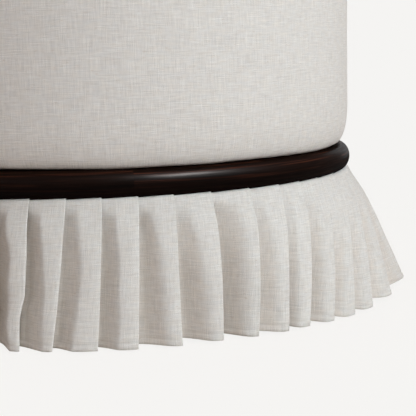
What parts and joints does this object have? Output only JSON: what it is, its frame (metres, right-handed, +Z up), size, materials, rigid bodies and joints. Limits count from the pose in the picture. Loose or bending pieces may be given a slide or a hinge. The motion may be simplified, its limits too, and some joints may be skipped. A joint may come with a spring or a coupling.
{
  "type": "round ottoman",
  "caption": "Round upholstered ottoman: a linen drum with a crowned seat on a dark half-round wood bead, over a knife-pleated skirt that hides block legs on screw levelers.",
  "frame": {"origin": "on the floor under the middle of the seat, at the leveler pads' undersides", "axes": "+Z up through the seat; -Y is the side that the picture looks at; +X is to its right"},
  "size_m": [0.621, 0.621, 0.4497],
  "materials": {
    "linen": "matte",
    "espresso_wood": "satin",
    "plywood": "matte",
    "frame_timber": "matte",
    "leg_wood": "satin",
    "bent_panel": "matte",
    "tack_card": "matte",
    "foam": "matte",
    "wadding": "matte",
    "webbing": "matte",
    "canvas": "matte",
    "dust_cloth": "matte",
    "zinc_steel": "satin",
    "nylon": "matte"
  },
  "bodies": {
    "ottoman_frame": {"base_board": "plywood", "bead_dowels": "frame_timber", "bead_screws": "zinc_steel", "bead_segment_1": "espresso_wood", "bead_segment_2": "espresso_wood", "bead_segment_3": "espresso_wood", "bead_segment_4": "espresso_wood", "bead_segment_5": "espresso_wood", "bead_segment_6": "espresso_wood", "deck_cloth": "canvas", "dust_cover": "dust_cloth", "frame_screws": "zinc_steel", "hanger_bolts": "zinc_steel", "leg_1": "leg_wood", "leg_2": "leg_wood", "leg_3": "leg_wood", "leg_4": "leg_wood", "leveler_sleeves": "zinc_steel", "post_1": "frame_timber", "post_2": "frame_timber", "post_3": "frame_timber", "post_4": "frame_timber", "post_5": "frame_timber", "post_6": "frame_timber", "seat_batting": "wadding", "seat_foam": "foam", "side_band": "linen", "side_batting": "wadding", "side_foam": "foam", "side_panel": "bent_panel", "skirt": "linen", "skirt_tape": "canvas", "sub_base": "plywood", "sub_base_screws": "zinc_steel", "t_nuts": "zinc_steel", "tack_strip": "tack_card", "top_panel": "linen", "top_ring": "plywood", "webbing_crosswise": "webbing", "webbing_lengthwise": "webbing"},
    "leveler_1": {"leveler_pad_1": "nylon", "leveler_stem_1": "zinc_steel"},
    "leveler_2": {"leveler_pad_2": "nylon", "leveler_stem_2": "zinc_steel"},
    "leveler_3": {"leveler_pad_3": "nylon", "leveler_stem_3": "zinc_steel"},
    "leveler_4": {"leveler_pad_4": "nylon", "leveler_stem_4": "zinc_steel"}
  },
  "joints": [
    {"name": "leveler_1_travel", "type": "slide", "parent": "ottoman_frame", "child": "leveler_1", "axis": [0, 0, -1], "range_m": [0, 0.012]},
    {"name": "leveler_2_travel", "type": "slide", "parent": "ottoman_frame", "child": "leveler_2", "axis": [0, 0, -1], "range_m": [0, 0.012]},
    {"name": "leveler_3_travel", "type": "slide", "parent": "ottoman_frame", "child": "leveler_3", "axis": [0, 0, -1], "range_m": [0, 0.012]},
    {"name": "leveler_4_travel", "type": "slide", "parent": "ottoman_frame", "child": "leveler_4", "axis": [0, 0, -1], "range_m": [0, 0.012]}
  ]
}
